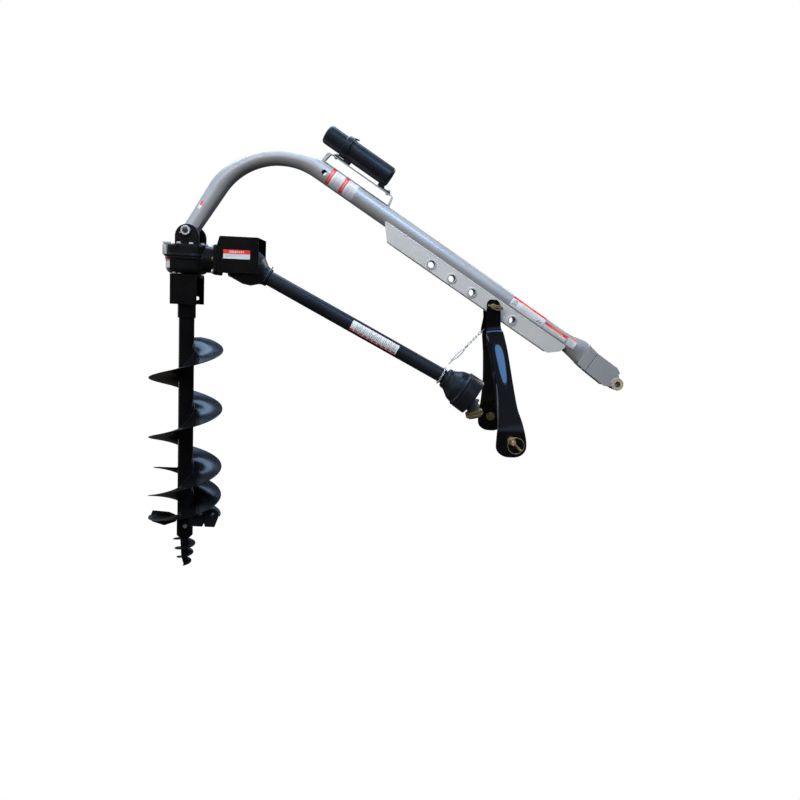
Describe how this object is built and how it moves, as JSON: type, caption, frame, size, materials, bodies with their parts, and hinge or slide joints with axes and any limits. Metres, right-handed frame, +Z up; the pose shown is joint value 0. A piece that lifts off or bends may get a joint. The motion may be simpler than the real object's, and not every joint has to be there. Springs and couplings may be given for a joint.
{
  "type": "tractor post hole digger",
  "caption": "Three-point-hitch post hole digger: bent boom, hanger yoke, right-angle gearbox, shielded telescoping driveline and a 12 inch earth auger.",
  "frame": {"origin": "centre of the boom's top-link pin", "axes": "+X towards the tractor, along the boom's reach; +Y across the machine; +Z up, along the auger"},
  "size_m": [2.0064, 0.738, 1.8929],
  "materials": {
    "silver_paint": "satin",
    "grey_paint": "satin",
    "gloss_black_paint": "gloss",
    "satin_black_paint": "satin",
    "cast_black": "satin",
    "black_plastic": "matte",
    "zinc": "bright zinc plate",
    "gold_zinc": "yellow zinc plate",
    "copper_zinc": "orange zinc plate",
    "bare_steel": "machined"
  },
  "bodies": {
    "boom": {"boom_tube": "silver_paint", "side_plate_near": "grey_paint", "side_plate_far": "grey_paint", "hitch_bush_1": "grey_paint", "hitch_bush_2": "grey_paint", "hitch_bush_3": "grey_paint", "hitch_bush_4": "grey_paint", "hitch_bush_5": "grey_paint", "clevis_plate_near": "silver_paint", "clevis_plate_far": "silver_paint", "top_link_bush": "bare_steel", "boom_sleeve": "silver_paint", "canister_bracket": "zinc", "canister_body": "black_plastic"},
    "canister_cap": {"canister_cap": "black_plastic"},
    "yoke": {"yoke_leg_near": "gloss_black_paint", "yoke_leg_far": "gloss_black_paint", "hitch_pin_near": "copper_zinc", "hitch_pin_far": "copper_zinc", "hitch_pin_nut_near": "gold_zinc", "hitch_pin_nut_far": "gold_zinc", "linchpin_near": "gold_zinc", "linchpin_far": "gold_zinc", "yoke_pin": "gold_zinc", "yoke_pin_clip": "gold_zinc"},
    "chain": {"safety_chain": "zinc"},
    "gearbox": {"gearbox_housing": "cast_black", "gearbox_cover": "cast_black", "pivot_tube": "zinc", "output_bearing_lower": "bare_steel", "output_bearing_upper": "bare_steel", "input_bearing_inner": "bare_steel", "input_bearing_outer": "bare_steel", "box_shield": "satin_black_paint", "shaft_guard": "satin_black_paint"},
    "auger": {"ring_gear": "bare_steel", "output_shaft": "bare_steel", "auger_tube": "satin_black_paint", "auger_collar": "satin_black_paint", "auger_bolt": "zinc", "main_flight": "satin_black_paint", "second_flight": "satin_black_paint", "cutting_blade": "satin_black_paint", "tooth_inner": "cast_black", "tooth_outer": "cast_black", "pilot_holder": "satin_black_paint", "pilot_bolt": "zinc", "pilot_screw": "bare_steel"},
    "input": {"pinion_shaft": "bare_steel", "input_yoke": "bare_steel"},
    "driveline_shield": {"rear_shield_cone": "black_plastic", "outer_shield_tube": "black_plastic", "chain_loop": "zinc"},
    "rear_shaft": {"rear_half_shaft": "bare_steel"},
    "front_shield": {"inner_shield_tube": "black_plastic", "tractor_shield_bell": "black_plastic"},
    "front_shaft": {"front_half_shaft": "bare_steel"},
    "cross": {"joint_cross": "bare_steel"},
    "tractor_yoke": {"tractor_yoke": "bare_steel"},
    "release_collar": {"release_collar": "gold_zinc"}
  },
  "joints": [
    {"name": "gearbox_swing", "type": "hinge", "parent": "boom", "child": "gearbox", "pos_m": [-1.817, 0, 0.549], "axis": [0, 1, 0], "range_deg": [-12, 15]},
    {"name": "auger_spin", "type": "hinge", "parent": "gearbox", "child": "auger", "pos_m": [-1.828, 0, 0.438], "axis": [0, 0, 1], "continuous": true},
    {"name": "input_spin", "type": "hinge", "parent": "gearbox", "child": "input", "pos_m": [-1.828, 0, 0.438], "axis": [1, 0, 0], "continuous": true},
    {"name": "driveline_pitch", "type": "hinge", "parent": "gearbox", "child": "driveline_shield", "pos_m": [-1.613, 0, 0.438], "axis": [0, 1, 0], "range_deg": [-19, 15]},
    {"name": "rear_shaft_spin", "type": "hinge", "parent": "driveline_shield", "child": "rear_shaft", "pos_m": [-1.613, 0, 0.438], "axis": [0.8934, 0, -0.4493], "continuous": true},
    {"name": "telescope", "type": "slide", "parent": "driveline_shield", "child": "front_shield", "axis": [0.8934, 0, -0.4493], "range_m": [0, 0.28]},
    {"name": "front_shaft_spin", "type": "hinge", "parent": "front_shield", "child": "front_shaft", "pos_m": [-0.62314, 0, -0.05985], "axis": [0.8934, 0, -0.4493], "continuous": true},
    {"name": "yoke_hang", "type": "hinge", "parent": "front_shield", "child": "cross", "pos_m": [-0.62314, 0, -0.05985], "axis": [0, 1, 0], "range_deg": [-46, 0]},
    {"name": "tractor_yoke_spin", "type": "hinge", "parent": "cross", "child": "tractor_yoke", "pos_m": [-0.62314, 0, -0.05985], "axis": [0.2874, 0, -0.9578], "continuous": true},
    {"name": "collar_slide", "type": "slide", "parent": "tractor_yoke", "child": "release_collar", "axis": [-0.2874, 0, 0.9578], "range_m": [0, 0.012], "stiffness_N_per_m": 1200, "springref_m": -0.006},
    {"name": "yoke_swing", "type": "hinge", "parent": "boom", "child": "yoke", "pos_m": [-0.55123, 0, 0.30144], "axis": [0, 1, 0], "range_deg": [-20, 35]},
    {"name": "chain_swing", "type": "hinge", "parent": "boom", "child": "chain", "pos_m": [-0.55123, 0, 0.30144], "axis": [0, 1, 0], "range_deg": [-2, 2]},
    {"name": "cap_slide", "type": "slide", "parent": "boom", "child": "canister_cap", "axis": [-0.8526, 0, 0.5225], "range_m": [0, 0.12]}
  ],
  "couplings": [
    {"joint": "input_spin", "follows": "auger_spin", "ratio": 3},
    {"joint": "rear_shaft_spin", "follows": "auger_spin", "ratio": 3},
    {"joint": "front_shaft_spin", "follows": "auger_spin", "ratio": 3},
    {"joint": "tractor_yoke_spin", "follows": "auger_spin", "ratio": 3},
    {"joint": "driveline_pitch", "follows": "gearbox_swing", "ratio": -1.2394},
    {"joint": "chain_swing", "follows": "gearbox_swing", "ratio": 0.0211}
  ]
}
